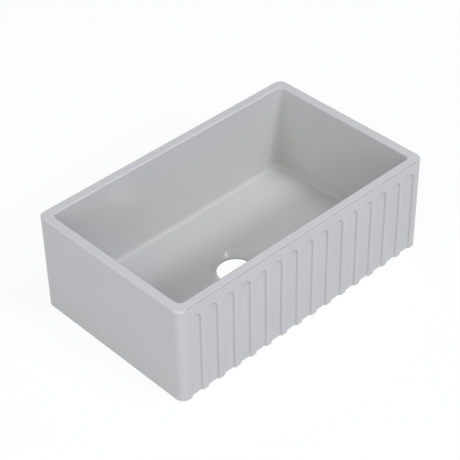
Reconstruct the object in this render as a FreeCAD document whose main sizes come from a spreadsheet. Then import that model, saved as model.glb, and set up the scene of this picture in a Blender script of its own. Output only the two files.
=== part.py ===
# Farmhouse sink with a fluted apron front: one fireclay casting and its fired glaze.
#
# Axes: X runs along the length, -Y is the apron front, +Z is up. The origin is the middle of
# the footprint, on the plane that the kiln foot stands on. All sizes are millimetres.
#
# The sink's form is described once and built twice: as the clay, drawn in from the finished
# surface by the glaze's thickness, and as the finished surface. The glaze is what lies between.
import FreeCAD, Part
import math
import os
import Sketcher
from FreeCAD import Vector

doc = FreeCAD.newDocument("FarmhouseSink")

# ---------------------------------------------------------------- driving dimensions
# Sizes are those of the glazed, finished surface.
DIMENSIONS = [
    ("sink_length", 756, "left to right"),
    ("sink_width", 458, "apron face to back"),
    ("sink_height", 254, "kiln foot to rim"),
    ("outer_corner", 20, "upright outer corners"),
    ("wall", 24, "thickness of the walls"),
    ("rim_round", 4, "both edges of the rim"),
    ("bowl_corner", 15, "upright inner corners"),
    ("bowl_depth", 233, "rim to the edge of the floor"),
    ("floor_round", 13, "inner wall into floor"),
    ("floor_fall", 3, "edge of the floor down to the drain seat"),
    ("slope_margin", 1, "foot of the walls to the start of the slopes"),
    ("seat_radius", 61, "dished seat for the flange of a strainer"),
    ("seat_dish", 13, "how far the seat is dished"),
    ("drain_radius", 45, "drain hole"),
    ("flute_count", 15, "arch-topped flutes in the apron"),
    ("flute_pitch", 47.6, "centre to centre"),
    ("flute_width", 31, "at the face of the apron"),
    ("flute_sink", 4.8, "depth of a flute"),
    ("flute_top", 29.5, "rim down to the crown of an arch"),
    ("flute_draft", 15, "lean of the sides of a flute, in degrees"),
    ("flute_arris", 1.2, "softened mouth of a flute"),
    ("crease_radius", 1.3, "shadow line between rim and apron"),
    ("foot_height", 3, "kiln foot, a ring under the edge"),
    ("foot_width", 28, "edge of the sink to the inside of the foot"),
    ("bare_edge", 1, "clay wiped bare at the bottom of the outside"),
    ("pad_radius", 75, "flat pad round the drain, under the floor"),
    ("pad_gap", 1, "how far the pad stays clear of the kiln shelf"),
    ("glaze", 1, "thickness of the fired glaze with its slip"),
]
sheet = doc.addObject("Spreadsheet::Sheet", "Dimensions")
for row, (word, value, meaning) in enumerate(DIMENSIONS, start=1):
    sheet.set(f"A{row}", word)
    sheet.set(f"B{row}", str(value))
    sheet.set(f"C{row}", meaning)
    sheet.setAlias(f"B{row}", word)
doc.recompute()

CLOSE = 0.01  # two places nearer than this are the same
LITRE = 1e6  # in cubic millimetres


def size(formula):
    """A formula in the words of the sheet, written the way setExpression reads it."""
    words = [word for word, value, meaning in DIMENSIONS]
    for number, word in enumerate(words):
        formula = formula.replace(word, f"<{number}>")
    for number, word in enumerate(words):
        formula = formula.replace(f"<{number}>", f"Dimensions.{word}")
    return formula


def value_of(formula):
    """The number that a formula in the words of the sheet comes to."""
    return float(sheet.evalExpression(size(formula)))


# ---------------------------------------------------------------- sketches and features
def origin_plane(body, role):
    """One of the body's three origin planes."""
    return next(item for item in body.Origin.OriginFeatures if item.Role == role)


def sketch_on(body, name, role, offset="0"):
    """A sketch on an origin plane of the body, moved along the normal of that plane."""
    sketch = body.newObject("Sketcher::SketchObject", f"{body.Name}_{name}")
    sketch.AttachmentSupport = [(origin_plane(body, role), "")]
    sketch.MapMode = "FlatFace"
    sketch.setExpression("AttachmentOffset.Base.z", size(offset))
    return sketch


def relate(sketch, kind, *places):
    """Add a geometric constraint to a sketch."""
    sketch.addConstraint(Sketcher.Constraint(kind, *places))


def drive(sketch, name, formula, kind, *places):
    """Add a dimension to a sketch and bind it to the sheet."""
    number = sketch.addConstraint(Sketcher.Constraint(kind, *places, value_of(formula)))
    sketch.renameConstraint(number, name)
    sketch.setExpression(f"Constraints.{name}", size(formula))


def feature(body, kind, name, given, **formulas):
    """Add a feature to a body, bind its sizes to the sheet and rebuild."""
    item = body.newObject(f"PartDesign::{kind}", f"{body.Name}_{name}")
    for setting, content in given.items():
        setattr(item, setting, content)
    for setting, formula in formulas.items():
        item.setExpression(setting, size(formula))
    body.Tip = item
    doc.recompute()
    return item


def named(kind, parts, wanted):
    """Names of the edges or faces whose bounding box passes the test."""
    return [f"{kind}{number}" for number, part in enumerate(parts, start=1)
            if wanted(part.BoundBox)]


def level_at(height):
    """A test for what lies flat at one height."""
    return lambda box: abs(box.ZMin - height) < CLOSE and abs(box.ZMax - height) < CLOSE


# ---------------------------------------------------------------- outlines
def rounded_rectangle(sketch, length, width, radius):
    """A rectangle about the origin with four equal round corners."""
    x, y, r = value_of(length) / 2, value_of(width) / 2, value_of(radius)
    first = sketch.GeometryCount

    def line(x1, y1, x2, y2):
        return Part.LineSegment(Vector(x1, y1, 0), Vector(x2, y2, 0))

    def corner(cx, cy, quarter):
        whole = Part.Circle(Vector(cx, cy, 0), Vector(0, 0, 1), r)
        return Part.ArcOfCircle(whole, quarter * math.pi / 2, (quarter + 1) * math.pi / 2)

    sketch.addGeometry([
        line(-x + r, -y, x - r, -y), corner(x - r, -y + r, 3),
        line(x, -y + r, x, y - r), corner(x - r, y - r, 0),
        line(x - r, y, -x + r, y), corner(-x + r, y - r, 1),
        line(-x, y - r, -x, -y + r), corner(-x + r, -y + r, 2),
    ], False)
    front, right, back, left = range(first, first + 8, 2)
    for side in range(8):
        relate(sketch, "Tangent", first + side, 2, first + (side + 1) % 8, 1)
    relate(sketch, "Horizontal", front)
    relate(sketch, "Vertical", right)
    relate(sketch, "Horizontal", back)
    relate(sketch, "Vertical", left)
    for side in (right, back, left):
        relate(sketch, "Equal", front + 1, side + 1)
    relate(sketch, "Symmetric", front, 1, back, 1, -1, 1)
    drive(sketch, f"Corner{first}", radius, "Radius", front + 1)
    drive(sketch, f"Length{first}", length, "DistanceX", left, 1, right, 2)
    drive(sketch, f"Width{first}", width, "DistanceY", front, 1, back, 2)


def circle(sketch, radius):
    """A circle about the origin."""
    sketch.addGeometry(Part.Circle(Vector(), Vector(0, 0, 1), value_of(radius)), False)
    relate(sketch, "Coincident", 0, 3, -1, 1)
    drive(sketch, "Radius", radius, "Radius", 0)


def doorway(sketch, centre, width, crown, foot):
    """Upright sides from the foot, closed by a half circle at the crown."""
    spring = f"{crown} - {width} / 2"
    x, r = value_of(centre), value_of(width) / 2
    low, high = value_of(foot), value_of(spring)
    sketch.addGeometry([
        Part.LineSegment(Vector(x - r, low, 0), Vector(x + r, low, 0)),
        Part.LineSegment(Vector(x + r, low, 0), Vector(x + r, high, 0)),
        Part.ArcOfCircle(Part.Circle(Vector(x, high, 0), Vector(0, 0, 1), r), 0, math.pi),
        Part.LineSegment(Vector(x - r, high, 0), Vector(x - r, low, 0)),
    ], False)
    relate(sketch, "Coincident", 0, 2, 1, 1)
    relate(sketch, "Tangent", 1, 2, 2, 1)
    relate(sketch, "Tangent", 2, 2, 3, 1)
    relate(sketch, "Coincident", 3, 2, 0, 1)
    relate(sketch, "Horizontal", 0)
    relate(sketch, "Vertical", 1)
    relate(sketch, "Vertical", 3)
    drive(sketch, "Crown", f"{width} / 2", "Radius", 2)
    drive(sketch, "Centre", centre, "DistanceX", -1, 1, 2, 3)
    drive(sketch, "Spring", spring, "DistanceY", -1, 1, 2, 3)
    drive(sketch, "Foot", foot, "DistanceY", -1, 1, 0, 1)


# ---------------------------------------------------------------- the sink, feature by feature
# Each function takes the body and the skin, by which its surface is drawn in.
def block(body, skin):
    """The outside: a block with round upright corners."""
    outline = sketch_on(body, "outline", "XY_Plane", "foot_height")
    rounded_rectangle(outline, f"sink_length - 2 * {skin}", f"sink_width - 2 * {skin}",
                      f"outer_corner - {skin}")
    feature(body, "Pad", "block", {"Profile": outline},
            Length=f"sink_height - foot_height - {skin}")


def drain_pad(body):
    """A flat pad under the floor, where the gasket of the strainer seals."""
    outline = sketch_on(body, "pad_outline", "XY_Plane", "pad_gap")
    circle(outline, "pad_radius")
    feature(body, "Pad", "pad", {"Profile": outline}, Length="foot_height - pad_gap")


def kiln_foot(body, skin, start):
    """The ring along the edge that the sink stands on, in the kiln and on its cabinet."""
    ring = sketch_on(body, "foot_outline", "XY_Plane", start)
    rounded_rectangle(ring, f"sink_length - 2 * {skin}", f"sink_width - 2 * {skin}",
                      f"outer_corner - {skin}")
    rounded_rectangle(ring, "sink_length - 2 * foot_width", "sink_width - 2 * foot_width",
                      "outer_corner")
    feature(body, "Pad", "foot", {"Profile": ring}, Length=f"foot_height - {start}")


def bowl(body, skin):
    """The bowl, rounded into its floor, with four slopes that fall to the drain."""
    floor = f"sink_height - bowl_depth - {skin}"
    length = f"sink_length - 2 * wall + 2 * {skin}"
    width = f"sink_width - 2 * wall + 2 * {skin}"
    mouth = sketch_on(body, "mouth", "XY_Plane", floor)
    rounded_rectangle(mouth, length, width, f"bowl_corner + {skin}")
    given = {"Profile": mouth, "Reversed": True, "Type": "ThroughAll"}
    hollow = feature(body, "Pocket", "bowl", given)
    corner = named("Edge", hollow.Shape.Edges, level_at(value_of(floor)))
    feature(body, "Fillet", "floor_round", {"Base": (hollow, corner)},
            Radius=f"floor_round + {skin}")

    # The slopes start clear of the round at the foot of the walls.
    inset = f"floor_round - {skin} - slope_margin"
    seat = f"seat_radius + {skin}"
    given = {"AttachmentSupport": [(origin_plane(body, "XZ_Plane"), "")], "MapMode": "FlatFace"}
    feature(body, "SubtractiveWedge", "slopes", given,
            Ymin=f"{floor} - floor_fall", Ymax=floor,
            Xmin=f"-({seat})", Xmax=seat, Zmin=f"-({seat})", Zmax=seat,
            X2min=f"-(({length}) / 2 - {inset})", X2max=f"({length}) / 2 - {inset}",
            Z2min=f"-(({width}) / 2 - {inset})", Z2max=f"({width}) / 2 - {inset}")


def drain(body, skin):
    """The dished seat for the strainer, and the hole through the floor."""
    level = f"sink_height - bowl_depth - floor_fall - {skin}"
    top, dish = value_of(level), value_of("seat_dish")
    wide, narrow = value_of(f"seat_radius + {skin}"), value_of(f"drain_radius + {skin}")
    profile = sketch_on(body, "seat_profile", "XZ_Plane")
    corners = [Vector(0, top, 0), Vector(0, top - dish, 0),
               Vector(narrow, top - dish, 0), Vector(wide, top, 0)]
    for side in range(4):
        profile.addGeometry(Part.LineSegment(corners[side], corners[(side + 1) % 4]), False)
    for side in range(4):
        relate(profile, "Coincident", side, 2, (side + 1) % 4, 1)
    relate(profile, "Vertical", 0)
    relate(profile, "Horizontal", 1)
    relate(profile, "Horizontal", 3)
    relate(profile, "PointOnObject", 0, 1, -2)
    drive(profile, "Level", level, "DistanceY", -1, 1, 0, 1)
    drive(profile, "Dish", "seat_dish", "DistanceY", 0, 2, 0, 1)
    drive(profile, "Hole", f"drain_radius + {skin}", "DistanceX", 1, 1, 1, 2)
    drive(profile, "Seat", f"seat_radius + {skin}", "DistanceX", 3, 2, 3, 1)
    given = {"Profile": profile, "ReferenceAxis": (profile, ["V_Axis"]), "Angle": 360}
    feature(body, "Groove", "seat", given)

    hole = sketch_on(body, "hole_outline", "XY_Plane", level)
    circle(hole, f"drain_radius + {skin}")
    feature(body, "Pocket", "hole", {"Profile": hole, "Type": "ThroughAll"})


def rim_edges(body, skin):
    """Names of the inner and outer edges of the rim, for its last feature."""
    top = value_of(f"sink_height - {skin}")
    return body.Tip, named("Edge", body.Tip.Shape.Edges, level_at(top))


def crease(body, skin):
    """The shadow line that parts the rim from the apron, half way round the edge."""
    half_way_round = "rim_round * (1 - sqrt(0.5))"
    front = f"sink_width / 2 - {half_way_round}"
    high = f"sink_height - {half_way_round}"
    radius = f"crease_radius + {skin}"
    profile = sketch_on(body, "crease_profile", "YZ_Plane")
    centre = Vector(-value_of(front), value_of(high), 0)
    profile.addGeometry(Part.Circle(centre, Vector(0, 0, 1), value_of(radius)), False)
    drive(profile, "Front", front, "DistanceX", 0, 3, -1, 1)
    drive(profile, "High", high, "DistanceY", -1, 1, 0, 3)
    drive(profile, "Radius", radius, "Radius", 0)
    feature(body, "Pocket", "crease", {"Profile": profile, "Midplane": True},
            Length="sink_length - 2 * outer_corner")


def flutes(body, skin):
    """Arch-topped flutes, open at the foot, repeated along the apron."""
    face = f"sink_width / 2 - {skin}"
    apron = body.newObject("PartDesign::Plane", f"{body.Name}_apron")
    apron.AttachmentSupport = [(origin_plane(body, "XZ_Plane"), "")]
    apron.MapMode = "FlatFace"
    apron.setExpression("AttachmentOffset.Base.z", size(face))
    profile = sketch_on(body, "doorway", "XZ_Plane", face)
    below_the_foot = "-flute_width"
    doorway(profile, "-(flute_count - 1) / 2 * flute_pitch", f"(flute_width + 2 * {skin})",
            f"sink_height - flute_top + {skin}", below_the_foot)
    flute = feature(body, "Pocket", "flute", {"Profile": profile}, Length="flute_sink")
    given = {"Originals": [flute], "Direction": (profile, ["H_Axis"])}
    row = feature(body, "LinearPattern", "flutes", given,
                  Length="(flute_count - 1) * flute_pitch", Occurrences="flute_count")

    # The sides lean, so that the casting can leave its mould. The mouth keeps its width.
    front, bed = -value_of(face), value_of("flute_sink") - value_of(face)
    sides = named("Face", row.Shape.Faces,
                  lambda box: abs(box.YMin - front) < CLOSE and abs(box.YMax - bed) < CLOSE)
    given = {"Base": (row, sides), "NeutralPlane": (apron, [""])}
    leant = feature(body, "Draft", "flute_sides", given)
    leant.setExpression("Angle", size("flute_draft"))
    doc.recompute()
    if leant.Shape.Volume <= row.Shape.Volume:
        raise RuntimeError("the flutes widen inwards")


def soften_flutes(body):
    """Take the arris off the mouth of every flute."""
    front = -value_of("sink_width / 2")
    corner = value_of("sink_length / 2 - outer_corner") - CLOSE
    crown = value_of("sink_height - flute_top") + CLOSE
    foot = value_of("foot_height") + CLOSE

    def is_mouth(box):
        on_face = abs(box.YMin - front) < CLOSE and abs(box.YMax - front) < CLOSE
        return on_face and foot < box.ZMax < crown and abs(box.Center.x) < corner

    edges = named("Edge", body.Tip.Shape.Edges, is_mouth)
    feature(body, "Chamfer", "arris", {"Base": (body.Tip, edges)}, Size="flute_arris")


# ---------------------------------------------------------------- the two pieces
# The clay stands on its foot. The glaze stops just above, so that it can't stick to the kiln.
fireclay_body = doc.addObject("PartDesign::Body", "fireclay_body")
finished_form = doc.addObject("PartDesign::Body", "finished_form")
for form, skin, start in ((fireclay_body, "glaze", "0"), (finished_form, "0", "bare_edge")):
    block(form, skin)
    drain_pad(form)
    kiln_foot(form, skin, start)
    bowl(form, skin)
    drain(form, skin)

# The clay's rim is fettled flat, and the glaze rounds it.
fettled = rim_edges(fireclay_body, "glaze")
feature(fireclay_body, "Chamfer", "rim_edge", {"Base": fettled}, Size="rim_round / 2")
rounded = rim_edges(finished_form, "0")
feature(finished_form, "Fillet", "rim_edge", {"Base": rounded}, Radius="rim_round")

for form, skin in ((fireclay_body, "glaze"), (finished_form, "0")):
    crease(form, skin)
    flutes(form, skin)
soften_flutes(finished_form)

glaze_coat = doc.addObject("Part::Cut", "glaze_coat")
glaze_coat.Base = finished_form
glaze_coat.Tool = fireclay_body
for piece in (fireclay_body, glaze_coat):
    piece.Label = piece.Name
doc.recompute()

# ---------------------------------------------------------------- checks and export
for item in doc.Objects:
    if "Invalid" in item.State or "Error" in item.State:
        raise RuntimeError(f"{item.Name} did not build: {item.State}")
    if hasattr(item, "Shape") and item.isDerivedFrom("PartDesign::Feature"):
        if item.Shape.isNull() or not item.Shape.isValid():
            raise RuntimeError(f"{item.Name} has no valid shape")

os.makedirs("parts", exist_ok=True)
for piece in (fireclay_body, glaze_coat):
    if piece.Shape.isNull() or not piece.Shape.isValid():
        raise RuntimeError(f"{piece.Label} has no valid shape")
    box = piece.Shape.optimalBoundingBox()
    print(f"{piece.Label}: {len(piece.Shape.Solids)} solid, {len(piece.Shape.Faces)} faces, "
          f"{piece.Shape.Volume / LITRE:.3f} litres, {box.XLength:.1f} x {box.YLength:.1f} x "
          f"{box.ZLength:.1f} mm, from z = {box.ZMin:.1f}")
    piece.Shape.exportStep(f"parts/{piece.Label}.step")
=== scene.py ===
# %% [markdown]
# # A farmhouse sink with a fluted apron
#
# The sink is one fireclay casting under one coat of fired glaze. The measured model comes
# ready made, as the frame. This lesson makes the skin that the eye sees: the glaze, with its
# soft edges, its arch-topped flutes and its dished drain seat, and then the finishes, the
# light and the camera.

# %% Load the measured model
import bmesh
import bpy
from math import asin, cos, pi, radians, sin
from mathutils import Matrix, Vector


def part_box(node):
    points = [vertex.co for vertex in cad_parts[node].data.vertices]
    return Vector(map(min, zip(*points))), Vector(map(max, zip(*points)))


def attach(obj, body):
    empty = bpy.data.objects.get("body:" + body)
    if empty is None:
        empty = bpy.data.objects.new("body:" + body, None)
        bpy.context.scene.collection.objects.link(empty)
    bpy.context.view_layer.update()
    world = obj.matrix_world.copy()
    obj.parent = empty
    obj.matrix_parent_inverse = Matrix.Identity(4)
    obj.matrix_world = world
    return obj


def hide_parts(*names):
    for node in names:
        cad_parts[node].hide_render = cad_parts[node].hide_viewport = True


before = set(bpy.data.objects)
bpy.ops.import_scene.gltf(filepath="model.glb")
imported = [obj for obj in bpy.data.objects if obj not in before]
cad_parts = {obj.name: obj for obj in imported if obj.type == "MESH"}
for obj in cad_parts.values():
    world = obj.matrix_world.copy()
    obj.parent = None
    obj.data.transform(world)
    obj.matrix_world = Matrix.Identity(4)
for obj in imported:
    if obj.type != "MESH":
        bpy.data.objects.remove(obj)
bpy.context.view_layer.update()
MM = 0.001
half_length, half_width, rim_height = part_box("glaze_coat")[1]
print("half length, half width, height:", half_length, half_width, rim_height)

# %% [markdown]
# ## Sizes of the skin
#
# The outside follows the measured model. Inside, the corners of the bowl are tighter at the
# rim than at the floor. The photograph shows a narrow dark line where the floor turns up into
# the walls. The sweep made here is softer than that line, because a tighter one would let the
# measured clay show through the glaze.

# %% Sizes
GLAZE = 1.0 * MM
OUTER_CORNER = 20 * MM
WALL = 24 * MM
RIM_ROUND = 4 * MM
BOWL_CORNER_AT_RIM = 13.5 * MM
BOWL_CORNER_AT_FLOOR = 25 * MM
BOWL_DEPTH = 233 * MM
FLOOR_SWEEP = 11 * MM
FLOOR_FALL = 3 * MM
SEAT_RADIUS = 61 * MM
SEAT_DISH = 13 * MM
DRAIN_RADIUS = 45 * MM
BARE_EDGE = 1 * MM       # the glaze is wiped off below this

CORNER_STEPS = 16        # segments in a round corner of a ring
JOIN = 0.05 * MM         # points nearer than this become one
NEAR = 0.01 * MM         # two places that differ by less than this are the same
ROUND_PROFILE = 0.5      # the profile of a bevel that is part of a circle

floor_edge = rim_height - BOWL_DEPTH
seat_height = floor_edge - FLOOR_FALL
print("edge of the floor at", floor_edge, "drain seat at", seat_height)


# %% [markdown]
# ## A ring
#
# Every level section of the sink is a rectangle with round corners. A ring is made from one
# flat square: it is scaled to its length and width, its four corners are bevelled round, and
# the face is thrown away so that only its outline stays. All rings have the same number of
# points, so two of them can be bridged with clean four-sided faces.

# %% A ring of edges
def ring(bm, inset, radius, height, half=None):
    """A rectangle with round corners, drawn in from the sink's outline."""
    x, y = half or (half_length - inset, half_width - inset)
    known = set(bm.edges)
    square = bmesh.ops.create_grid(bm, x_segments=1, y_segments=1, size=1.0)["verts"]
    bmesh.ops.scale(bm, verts=square, vec=(x, y, 1))
    bmesh.ops.translate(bm, verts=square, vec=(0, 0, height))
    bmesh.ops.bevel(bm, geom=square, offset=radius, segments=CORNER_STEPS, profile=ROUND_PROFILE,
                    affect="VERTICES", material=-1)
    outline = [edge for edge in bm.edges if edge not in known]
    flat = {face for edge in outline for face in edge.link_faces}
    bmesh.ops.delete(bm, geom=list(flat), context="FACES_ONLY")
    return outline


def bridge(bm, rings):
    """Skin a stack of rings, each one to the next."""
    for lower, upper in zip(rings, rings[1:]):
        bmesh.ops.bridge_loops(bm, edges=lower + upper)


# %% [markdown]
# ## Outside, rim and bowl
#
# The skin is a stack of rings that climbs the outside, rolls over the rim, goes down the
# bowl and sweeps into the floor. A rounded edge is a few rings on a quarter circle. One pair
# of rings on the outer edge stands either side of 45 degrees: the strip of skin between them
# becomes the shadow line that parts the rim from the apron.

# %% Rings of the outside and the rim
CREASE_HALF_WIDTH = 1.1 * MM
crease_turn = asin(CREASE_HALF_WIDTH / RIM_ROUND)
flank = pi / 4 - crease_turn     # the turn from the wall up to the strip
rim_turns = [0, flank / 2, flank, pi / 4 + crease_turn, pi / 2 - flank / 2, pi / 2]


def rim_ring(bm, edge, corner, sign, turn):
    """A ring on a rounded edge of the rim: sign is 1 on the outer edge, -1 on the inner."""
    drawn = RIM_ROUND * (1 - cos(turn))
    return ring(bm, edge + sign * drawn, corner - sign * drawn,
                rim_height - RIM_ROUND + RIM_ROUND * sin(turn))


skin = bmesh.new()
rings = [ring(skin, 0, OUTER_CORNER, BARE_EDGE)]
rings += [rim_ring(skin, 0, OUTER_CORNER, 1, turn) for turn in rim_turns]
rings += [rim_ring(skin, WALL, BOWL_CORNER_AT_RIM, -1, turn) for turn in reversed(rim_turns)]
print("rings so far:", len(rings))

# %% Rings of the bowl
WALL_LEVELS = 6
CORNER_EASE = 1.5        # above 1, the corners widen mostly near the floor
SWEEP_STEPS = 10
sweep_top = floor_edge + FLOOR_SWEEP
wall_top = rim_height - RIM_ROUND
for level in range(1, WALL_LEVELS + 1):
    down = level / WALL_LEVELS
    widened = (BOWL_CORNER_AT_FLOOR - BOWL_CORNER_AT_RIM) * down ** CORNER_EASE
    rings.append(ring(skin, WALL, BOWL_CORNER_AT_RIM + widened,
                      wall_top + (sweep_top - wall_top) * down))
for step in range(1, SWEEP_STEPS + 1):
    turn = pi / 2 * step / SWEEP_STEPS
    drawn = FLOOR_SWEEP * (1 - cos(turn))
    rings.append(ring(skin, WALL + drawn, BOWL_CORNER_AT_FLOOR - drawn,
                      sweep_top - FLOOR_SWEEP * sin(turn)))
print("rings with the bowl:", len(rings))

# %% [markdown]
# ## Floor
#
# The floor falls a few millimetres from its edge to the drain. Its rings change little by
# little from a long rectangle to a circle, which gives four gentle slopes with no creases
# between them.

# %% Rings of the floor
FLOOR_STEPS = 7
FLOOR_INNER = 72 * MM
FALL_EASE = 1.2              # above 1, the floor falls mostly near the drain
CIRCLE_SLACK = 0.02 * MM     # keeps the four points of a circle just apart
edge_half = (half_length - WALL - FLOOR_SWEEP, half_width - WALL - FLOOR_SWEEP)
edge_corner = BOWL_CORNER_AT_FLOOR - FLOOR_SWEEP
for step in range(1, FLOOR_STEPS + 1):
    along = step / FLOOR_STEPS
    half = [side + (FLOOR_INNER - side) * along for side in edge_half]
    corner = edge_corner + (FLOOR_INNER - CIRCLE_SLACK - edge_corner) * along
    rings.append(ring(skin, 0, corner, floor_edge - FLOOR_FALL * along ** FALL_EASE, half))
bridge(skin, rings)
print("faces in the skin:", len(skin.faces))

# %% [markdown]
# ## Drain seat
#
# The flange of a strainer beds in a round dish about the drain. A turned form like this could
# be a stack of rings too, but it is easier to draw half of its profile as a chain of points,
# round its corners, and spin it about the drain. The spin has as many steps as the innermost
# ring of the floor has points, so the two meet point to point and are merged.

# %% Spin the drain seat
SEAT_ROUND = 2.5 * MM
LIP_ROUND = 2 * MM
ROUND_STEPS = 6
profile_points = [
    (FLOOR_INNER, seat_height), (SEAT_RADIUS, seat_height),
    (DRAIN_RADIUS, seat_height - SEAT_DISH), (DRAIN_RADIUS, BARE_EDGE)]
chain = [skin.verts.new((x, 0, z)) for x, z in profile_points]
for pair in zip(chain, chain[1:]):
    skin.edges.new(pair)
for corner, size in ((chain[1], SEAT_ROUND), (chain[2], LIP_ROUND)):
    bmesh.ops.bevel(skin, geom=[corner], offset=size, segments=ROUND_STEPS, profile=ROUND_PROFILE,
                    affect="VERTICES", material=-1)
loose = [edge for edge in skin.edges if not edge.link_faces]
profile = list({vert for edge in loose for vert in edge.verts}) + loose
bmesh.ops.spin(skin, geom=profile, cent=(0, 0, 0), axis=(0, 0, 1), angle=2 * pi,
               steps=4 * CORNER_STEPS, use_merge=True, use_duplicate=False)
bmesh.ops.remove_doubles(skin, verts=skin.verts, dist=JOIN)
open_edges = [edge for edge in skin.edges if edge.is_boundary]
print("open edges, round the outside and the drain:", len(open_edges))

# %% [markdown]
# ## Fluted apron
#
# Each flute is a doorway: an arch on two upright sides, open at the foot. One doorway is
# drawn as half of a circle whose two ends are pulled down, and copied along the apron. The
# land between the doorways is one flat face. The outlines are pressed in, and the beds are
# filled. On the way in, the sides are drawn together a little, and the top of the arch comes
# down much more, so that the crown is a ramp.

# %% Sizes of the flutes
FLUTES = 15
FLUTE_PITCH = 47.6 * MM
FLUTE_WIDTH = 31 * MM
FLUTE_SINK = 4.8 * MM
FLUTE_TOP = 27.5 * MM
FLUTE_LEAN = 1.3 * MM        # how far a side leans in, from the land to the bed
CROWN_LEAN = 5.5 * MM        # the same at the top of the arch, which is a ramp
MOUTH_ROUND = 1.8 * MM
BED_ROUND = 1.0 * MM
ARCH_STEPS = 24
EDGE_STEPS = 4               # segments in a rounded edge of a flute
ARCH_RADIUS = FLUTE_WIDTH / 2
front = -half_width
spring = rim_height - FLUTE_TOP - ARCH_RADIUS     # the height at which the arch starts
centres = [(number - (FLUTES - 1) / 2) * FLUTE_PITCH for number in range(FLUTES)]
print("first and last flute at", centres[0], centres[-1])


# %% Open the front of the skin and draw the doorways
def middle(face):
    """The middle of a face."""
    return face.calc_center_median()


apron = max((face for face in skin.faces if abs(middle(face).y - front) < NEAR),
            key=lambda face: face.calc_area())
sill = min(apron.edges, key=lambda edge: sum(vert.co.z for vert in edge.verts))
apron_sides = [edge for edge in apron.edges if edge is not sill]
bmesh.ops.delete(skin, geom=[apron], context="FACES_ONLY")
print("edges kept round the opening:", len(apron_sides))


def doorway(bm, centre):
    """The outline of one flute on the face of the apron, from foot to foot."""
    circle = bmesh.ops.create_circle(bm, cap_ends=False, segments=2 * ARCH_STEPS,
                                     radius=ARCH_RADIUS)["verts"]
    bmesh.ops.rotate(bm, verts=circle, matrix=Matrix.Rotation(pi / 2, 3, "X"))
    bmesh.ops.translate(bm, verts=circle, vec=(centre, front, spring))
    lower = [vert for vert in circle if vert.co.z < spring - NEAR]
    arch = [vert for vert in circle if vert not in lower]
    bmesh.ops.delete(bm, geom=lower, context="VERTS")
    ends = [vert for vert in arch if len(vert.link_edges) == 1]
    pulled = bmesh.ops.extrude_vert_indiv(bm, verts=ends)
    for vert in pulled["verts"]:
        vert.co.z = BARE_EDGE
    edges = {edge for vert in arch + pulled["verts"] for edge in vert.link_edges}
    return list(edges), sorted(pulled["verts"], key=lambda vert: vert.co.x)


doors = [doorway(skin, centre) for centre in centres]
door_edges = [edges for edges, pair in doors]
feet = [foot for edges, pair in doors for foot in pair]
print("doorways:", len(doors))

# %% Fill the land between the doorways
corners = sorted(sill.verts, key=lambda vert: vert.co.x)
stops = [corners[0]] + feet + [corners[1]]
skin.edges.remove(sill)
sills = [skin.edges.new(pair) for pair in zip(stops[::2], stops[1::2])]
outline = apron_sides + sills + [edge for edges in door_edges for edge in edges]
bmesh.ops.edgeloop_fill(skin, edges=outline)
print("points round the land:", len(outline))

# %% Press the flutes in
narrow = 1 - FLUTE_LEAN / ARCH_RADIUS
lower = 1 - CROWN_LEAN / ARCH_RADIUS
mouths, beds = [], []
for centre, edges in zip(centres, door_edges):
    pressed = bmesh.ops.extrude_edge_only(skin, edges=edges)["geom"]
    inner = [item for item in pressed if isinstance(item, bmesh.types.BMVert)]
    inner_edges = [item for item in pressed if isinstance(item, bmesh.types.BMEdge)
                   and all(vert in inner for vert in item.verts)]
    for vert in inner:
        vert.co.y += FLUTE_SINK
        vert.co.x = centre + (vert.co.x - centre) * narrow
        if vert.co.z > spring:
            vert.co.z = spring + (vert.co.z - spring) * lower
    inner_feet = [vert for vert in inner if abs(vert.co.z - BARE_EDGE) < NEAR]
    threshold = skin.edges.new(inner_feet)
    bmesh.ops.edgeloop_fill(skin, edges=inner_edges + [threshold])
    mouths += edges
    beds += inner_edges
for edges, size in ((mouths, MOUTH_ROUND), (beds, BED_ROUND)):
    bmesh.ops.bevel(skin, geom=edges, offset=size, segments=EDGE_STEPS,
                    profile=ROUND_PROFILE, affect="EDGES", material=-1)
print("faces with the flutes:", len(skin.faces))

# %% [markdown]
# ## Shadow line
#
# A thin dark line runs along the front edge of the rim. The long front face of the strip at
# 45 degrees is inset and pushed in, which makes a narrow groove with square ends. The groove
# alone is paler than the line in the photograph, so its faces are marked with a value of
# their own, and the glaze finish paints shade on them: a darker colour in place of the shadow.

# %% Press the shadow line in
CREASE_DEPTH = 0.9 * MM
CREASE_MARGIN = 0.25 * MM
SLANT = 0.5              # a face at 45 degrees has more than this of both directions


def on_front_edge(face):
    """Whether a face slants along the front edge of the rim."""
    place, normal = middle(face), face.normal
    return (place.y < front + RIM_ROUND / 2 and place.z > rim_height - RIM_ROUND
            and abs(normal.y) > SLANT and abs(normal.z) > SLANT)


# the faces of the groove get a value that the glaze finish turns into painted shade
painted_groove_shade = skin.faces.layers.float.new("painted_groove_shade")
strip = max(filter(on_front_edge, skin.faces), key=lambda face: face.calc_area())
skin.normal_update()
walls = bmesh.ops.inset_individual(skin, faces=[strip], thickness=CREASE_MARGIN,
                                   depth=-CREASE_DEPTH, use_even_offset=True)["faces"]
for face in [strip] + walls:
    face[painted_groove_shade] = 1
bmesh.ops.remove_doubles(skin, verts=skin.verts, dist=JOIN)
bmesh.ops.recalc_face_normals(skin, faces=skin.faces)
print("faces in the finished skin:", len(skin.faces))


# %% [markdown]
# ## From skin to glaze
#
# The skin becomes an object, and a Solidify modifier gives it the thickness of the fired
# glaze, towards the clay. Flat walls and round edges share points, so the normals are
# weighted by area: the walls stay flat and the edges stay round.

# %% Make the glaze
SHARP = radians(50)


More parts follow.
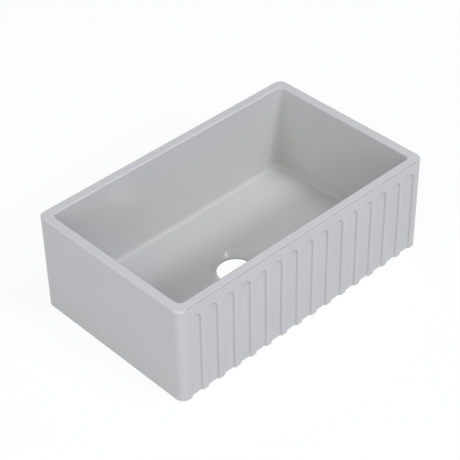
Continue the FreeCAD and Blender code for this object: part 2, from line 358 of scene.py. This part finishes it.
def finished_object(bm, name):
    """An object from a bmesh, smooth except where two faces meet at a sharp angle."""
    for face in bm.faces:
        face.smooth = True
    for edge in bm.edges:
        if len(edge.link_faces) == 2:
            edge.smooth = edge.calc_face_angle() < SHARP
    mesh = bpy.data.meshes.new(name)
    bm.to_mesh(mesh)
    bm.free()
    piece = bpy.data.objects.new(name, mesh)
    bpy.context.scene.collection.objects.link(piece)
    return piece


glaze = finished_object(skin, "fired_glaze")
thickness = glaze.modifiers.new("thickness", "SOLIDIFY")
thickness.thickness = GLAZE
thickness.offset = -1
thickness.use_even_offset = True
weighted = glaze.modifiers.new("weighted normals", "WEIGHTED_NORMAL")
weighted.keep_sharp = True
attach(glaze, "root")
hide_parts("glaze_coat")
print("glaze:", len(glaze.data.vertices), "points")


# %% [markdown]
# ## Helpers for the finishes
#
# A finish is a small tree of nodes. These helpers add a node, make a noise over the object,
# carry it between two values, mix two colours by it and stir the surface with it.

# %% Helpers for the finishes
NOISE_LOW, NOISE_HIGH = 0.3, 0.7     # nearly all values of a noise lie between these
WHITE = (1, 1, 1)


def new_material(name):
    """A material with nodes, its node tree and its shader."""
    material = bpy.data.materials.new(name)
    material.use_nodes = True
    tree = material.node_tree
    return material, tree, tree.nodes["Principled BSDF"]


def add(tree, kind, **settings):
    """A node of one kind, with its settings and the values of its sockets."""
    node = tree.nodes.new(kind)
    for name, value in settings.items():
        if name in node.inputs:
            node.inputs[name].default_value = value
        else:
            setattr(node, name, value)
    return node


def noise(tree, scale, detail):
    """A noise over the object, with a scale given in waves to the metre."""
    place = add(tree, "ShaderNodeTexCoord")
    node = add(tree, "ShaderNodeTexNoise", Scale=scale, Detail=detail)
    tree.links.new(place.outputs["Object"], node.inputs["Vector"])
    return node.outputs["Fac"]


def spread(tree, source, low, high):
    """Carry a noise between two values."""
    node = add(tree, "ShaderNodeMapRange")
    node.inputs["From Min"].default_value = NOISE_LOW
    node.inputs["From Max"].default_value = NOISE_HIGH
    node.inputs["To Min"].default_value = low
    node.inputs["To Max"].default_value = high
    tree.links.new(source, node.inputs["Value"])
    return node.outputs["Result"]


def mixed(tree, factor, first, second):
    """A mix of two colours, each given as three numbers or as the output of a node."""
    node = add(tree, "ShaderNodeMix", data_type="RGBA")
    tree.links.new(factor, node.inputs["Factor"])
    for name, colour in (("A", first), ("B", second)):
        if isinstance(colour, tuple):
            node.inputs[name].default_value = (*colour, 1)
        else:
            tree.links.new(colour, node.inputs[name])
    return node.outputs["Result"]


def stir(tree, shader, height, strength, distance):
    """Raise and lower the surface of a shader by a noise."""
    bump = add(tree, "ShaderNodeBump", Strength=strength, Distance=distance)
    tree.links.new(height, bump.inputs["Height"])
    tree.links.new(bump.outputs["Normal"], shader.inputs["Normal"])


print("a noise is read between", NOISE_LOW, "and", NOISE_HIGH)

# %% [markdown]
# ## Glaze finish
#
# A fired glaze is glass over clay. Its colour barely changes, but it is never quite even: it
# clouds a little where the coat is thicker, and its surface waves so faintly that only the
# reflections show it.

# %% Glaze material
GLAZE_COLOURS = (0.612, 0.612, 0.604), (0.626, 0.626, 0.618)
# a darker glaze colour painted into the shadow line groove, standing in for its shade
GROOVE_SHADE_COLOUR = (0.42, 0.42, 0.41)
GLAZE_CLOUDS = {"scale": 9, "detail": 3}
GLAZE_PATCHES = {"scale": 30, "detail": 2}
GLAZE_WAVES = {"scale": 60, "detail": 2}
GLAZE_ROUGHNESS = 0.11, 0.15
WAVE_STRENGTH, WAVE_HEIGHT = 0.05, 0.4 * MM
GLAZE_IOR = 1.5


def glaze_finish():
    """Glass over slip: faintly clouded and waved, with shade painted darker into the shadow line.
    """
    material, tree, shader = new_material("grey_white_glaze")
    clouds = spread(tree, noise(tree, **GLAZE_CLOUDS), 0, 1)
    coat = mixed(tree, clouds, *GLAZE_COLOURS)
    # painted shade: the groove's faces take the darker colour in place of the shadow there
    line = add(tree, "ShaderNodeAttribute", attribute_name="painted_groove_shade")
    colour = mixed(tree, line.outputs["Fac"], coat, GROOVE_SHADE_COLOUR)
    tree.links.new(colour, shader.inputs["Base Color"])
    roughness = spread(tree, noise(tree, **GLAZE_PATCHES), *GLAZE_ROUGHNESS)
    tree.links.new(roughness, shader.inputs["Roughness"])
    stir(tree, shader, noise(tree, **GLAZE_WAVES), WAVE_STRENGTH, WAVE_HEIGHT)
    shader.inputs["IOR"].default_value = GLAZE_IOR
    return material


glaze.data.materials.append(glaze_finish())
print("glaze finish made")

# %% [markdown]
# ## Bare clay
#
# The foot is wiped clean before firing, so the underside shows raw fireclay: pale buff, dry,
# and sandy from the grog in it. The measured clay body is shown as it is, with this finish.

# %% Clay material
CLAY_COLOURS = (0.60, 0.53, 0.43), (0.72, 0.66, 0.56)
GROG_COLOUR = (0.42, 0.33, 0.25)
CLAY_CLOUDS = {"scale": 14, "detail": 4}
CLAY_GRAINS = {"scale": 900, "detail": 2}
GROG_SHARE = -0.6, 0.5       # below 0 there is none, so only the high grains show it
GRAIN_STRENGTH, GRAIN_HEIGHT = 0.4, 0.3 * MM
CLAY_ROUGHNESS = 0.92


def clay_finish():
    """Dry buff clay, clouded and sandy."""
    material, tree, shader = new_material("raw_fireclay")
    clouds = spread(tree, noise(tree, **CLAY_CLOUDS), 0, 1)
    body = mixed(tree, clouds, *CLAY_COLOURS)
    grains = noise(tree, **CLAY_GRAINS)
    colour = mixed(tree, spread(tree, grains, *GROG_SHARE), body, GROG_COLOUR)
    tree.links.new(colour, shader.inputs["Base Color"])
    stir(tree, shader, grains, GRAIN_STRENGTH, GRAIN_HEIGHT)
    shader.inputs["Roughness"].default_value = CLAY_ROUGHNESS
    return material


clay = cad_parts["fireclay_body"]
clay.data.materials.clear()
clay.data.materials.append(clay_finish())
print("clay finish made")

# %% [markdown]
# ## Floor
#
# The object stands on a plain pale floor. To the camera, and in reflections, most of the
# floor is plain white, and a part of its real shading is mixed in, which keeps a faint
# shadow under the sink. The light that it sends back up is that of a pale grey floor, or the
# undersides of the crowns would be lit away.

# %% Floor
FLOOR_HALF = 8.0             # metres from the middle of the floor to an edge
FLOOR_GREY = (0.45, 0.45, 0.45)
SHADE_KEPT = 0.08            # the share of its real shading that the camera sees


def looked_at(tree):
    """One for a ray of the camera, straight, reflected or through glass, or else nothing."""
    rays = add(tree, "ShaderNodeLightPath")
    seen = rays.outputs["Is Camera Ray"]
    for name in ("Is Glossy Ray", "Is Transmission Ray"):
        either = add(tree, "ShaderNodeMath", operation="MAXIMUM")
        tree.links.new(seen, either.inputs[0])
        tree.links.new(rays.outputs[name], either.inputs[1])
        seen = either.outputs["Value"]
    return seen


def floor_finish():
    """White when looked at, with a little of its real shading, and grey to other rays."""
    material, tree, shader = new_material("white_floor")
    shader.inputs["Roughness"].default_value = 1
    shader.inputs["Specular IOR Level"].default_value = 0
    seen = looked_at(tree)
    tree.links.new(mixed(tree, seen, FLOOR_GREY, WHITE), shader.inputs["Base Color"])
    white = add(tree, "ShaderNodeEmission", Strength=1)
    share = add(tree, "ShaderNodeMath", operation="MULTIPLY")
    share.inputs[1].default_value = 1 - SHADE_KEPT
    tree.links.new(seen, share.inputs[0])
    mix = add(tree, "ShaderNodeMixShader")
    tree.links.new(share.outputs["Value"], mix.inputs[0])
    tree.links.new(shader.outputs["BSDF"], mix.inputs[1])
    tree.links.new(white.outputs["Emission"], mix.inputs[2])
    tree.links.new(mix.outputs["Shader"], tree.nodes["Material Output"].inputs["Surface"])
    return material


ground = bmesh.new()
bmesh.ops.create_grid(ground, x_segments=1, y_segments=1, size=FLOOR_HALF)
floor = finished_object(ground, "floor")
floor.data.materials.append(floor_finish())
print("floor:", 2 * FLOOR_HALF, "m wide")

# %% [markdown]
# ## Light
#
# Square soft lamps stand round the sink at 6 m, as on the inside of a dome. That is far
# enough for the front of the rim to get little more light than its back. The shades of the
# photograph tell where the lamps are. The front wall's shadow on the floor of the bowl gives
# the height of the key lamp. The shadows of the crowns on the flute beds give the two
# overhead lamps, and the evenly bright left end gives the broad lamps on the left. A weak
# even light fills the rest. Each lamp was then rendered alone, and the powers and tints were
# worked out with which all of them together come nearest to the photograph's tones.
#
# Lamps that would mirror as patches in the glaze are hidden from reflections. One small lamp
# is left to glint on the drain seat.

# %% Even light
FILL_STRENGTH = 0.05
world = bpy.data.worlds.new("studio")
bpy.context.scene.world = world
world.use_nodes = True
studio = world.node_tree
soft_light = studio.nodes["Background"]
soft_light.inputs["Color"].default_value = (*WHITE, 1)
soft_light.inputs["Strength"].default_value = FILL_STRENGTH
backdrop = add(studio, "ShaderNodeBackground", Color=(*WHITE, 1), Strength=1)
either = add(studio, "ShaderNodeMixShader")
studio.links.new(looked_at(studio), either.inputs[0])
studio.links.new(soft_light.outputs["Background"], either.inputs[1])
studio.links.new(backdrop.outputs["Background"], either.inputs[2])
studio.links.new(either.outputs["Shader"], studio.nodes["World Output"].inputs["Surface"])
print("even light:", FILL_STRENGTH)


# %% Lamps
MIDDLE = Vector((0, 0, rim_height / 2))
LAMP_DISTANCE = 6.0


def towards(azimuth, elevation):
    """A direction: azimuth 0 is in front, 90 at the right end; elevation 90 is overhead."""
    turn, climb = radians(azimuth), radians(elevation)
    return Vector((sin(turn) * cos(climb), -cos(turn) * cos(climb), sin(climb)))


def lamp(name, azimuth, elevation, size, power, colour, mirrored=False):
    """A square soft lamp on the dome, pointing at the middle of the sink."""
    light = bpy.data.lights.new(name, "AREA")
    light.size = size
    light.energy = power
    light.color = colour
    holder = bpy.data.objects.new(name, light)
    bpy.context.scene.collection.objects.link(holder)
    way = towards(azimuth, elevation)
    holder.location = MIDDLE + way * LAMP_DISTANCE
    holder.rotation_euler = (-way).to_track_quat("-Z", "Y").to_euler()
    holder.visible_glossy = mirrored


# name, azimuth and elevation in degrees, side in metres, power in watts, colour
lamp("key", 8, 36.7, 0.74, 128, (0.895, 0.895, 1))
lamp("overhead right", 35, 62.6, 1.9, 97, (0.985, 0.985, 1))
lamp("overhead middle", 0, 78, 2.4, 31, (0.73, 0.78, 1))
lamp("left, high", -90, 40, 3.6, 77, (0.97, 1, 0.985))
lamp("left, low", -90, 10, 3.6, 84, (0.82, 0.85, 1))
lamp("front left", -45, 30, 3.6, 56, (1, 0.95, 0.69))
lamp("front, low", -30, 5, 3.6, 94, (0.75, 0.79, 1))
lamp("back", 180, 30, 3.6, 62, (0.69, 0.69, 1))
lamp("glint", 13.1, 55.8, 0.4, 7, (1, 1, 1), mirrored=True)

# %% [markdown]
# ## Camera
#
# The photograph was matched with a long lens, a little over 3 m away, above the front left
# corner of the sink.

# %% Camera
AZIMUTH = radians(-43.314)
ELEVATION = radians(39.073)
ROLL = radians(-1.049)
DISTANCE = 3.380
ASIDE, ABOVE = -11.8 * MM, -1.0 * MM
LENS = 116.08
SENSOR = 36.0

back = Vector((sin(AZIMUTH) * cos(ELEVATION), -cos(AZIMUTH) * cos(ELEVATION), sin(ELEVATION)))
level_right = (-back).cross(Vector((0, 0, 1))).normalized()
level_up = level_right.cross(-back)
right = cos(ROLL) * level_right + sin(ROLL) * level_up
up = cos(ROLL) * level_up - sin(ROLL) * level_right
eye = MIDDLE + back * DISTANCE + right * ASIDE + up * ABOVE
view = bpy.data.cameras.new("camera")
view.lens = LENS
view.sensor_width = SENSOR
camera = bpy.data.objects.new("camera", view)
bpy.context.scene.collection.objects.link(camera)
camera.matrix_world = Matrix.Translation(eye) @ Matrix((right, up, back)).transposed().to_4x4()
bpy.context.scene.camera = camera
bpy.context.scene.view_settings.view_transform = "Standard"
print("camera at", tuple(round(value, 3) for value in eye))
